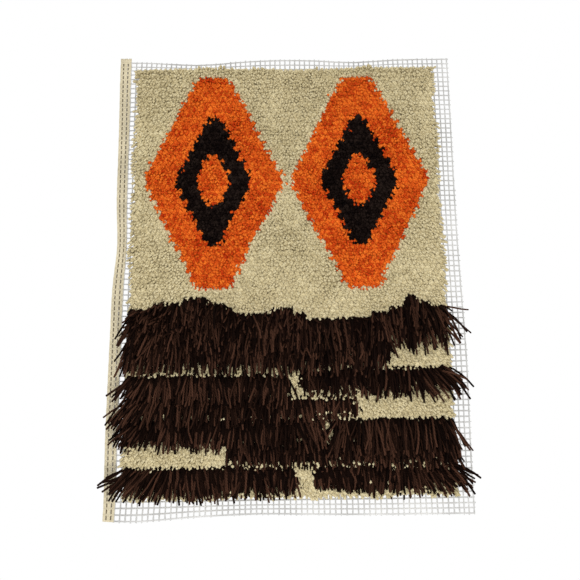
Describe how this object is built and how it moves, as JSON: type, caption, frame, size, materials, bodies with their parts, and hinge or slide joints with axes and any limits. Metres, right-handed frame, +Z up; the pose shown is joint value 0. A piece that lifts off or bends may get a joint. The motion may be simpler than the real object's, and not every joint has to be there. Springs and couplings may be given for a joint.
{
  "type": "latch hook wall hanging",
  "caption": "Yarn pile hooked on open rug canvas, with stepped lozenges above and long shag rows below; it hangs by its top edge.",
  "frame": {"origin": "on the back of the canvas, in the middle of its cut top edge, which is what holds the hanging up", "axes": "+Z up along the hanging, +X to the right as seen from the pile side, -Y out of the pile towards the viewer; the wall is the plane y = 0"},
  "size_m": [0.4574, 0.0409, 0.6225],
  "materials": {
    "canvas_cotton": "stiff sized cotton threads, off-white, with a beige woven selvedge",
    "cream_yarn": "matt cut rug yarn, cream to tan",
    "orange_yarn": "matt cut rug yarn, bright orange",
    "black_yarn": "matt cut rug yarn, black",
    "brown_yarn": "long cut rug yarn, dark brown with reddish strands"
  },
  "bodies": {
    "root": {"canvas": "canvas_cotton", "ground_pile_upper": "cream_yarn", "ground_pile_lower": "cream_yarn", "lozenge_frame_left": "orange_yarn", "lozenge_frame_right": "orange_yarn", "lozenge_ring_left": "black_yarn", "lozenge_ring_right": "black_yarn", "lozenge_core_left": "orange_yarn", "lozenge_core_right": "orange_yarn", "shag_row_1": "brown_yarn", "shag_row_2": "brown_yarn", "shag_row_3_left": "brown_yarn", "shag_row_3_right": "brown_yarn", "shag_row_4": "brown_yarn", "shag_row_5_left": "brown_yarn", "shag_row_5_right": "brown_yarn", "shag_row_6": "brown_yarn", "shag_row_7_left": "brown_yarn", "shag_row_7_right": "brown_yarn"}
  },
  "joints": []
}
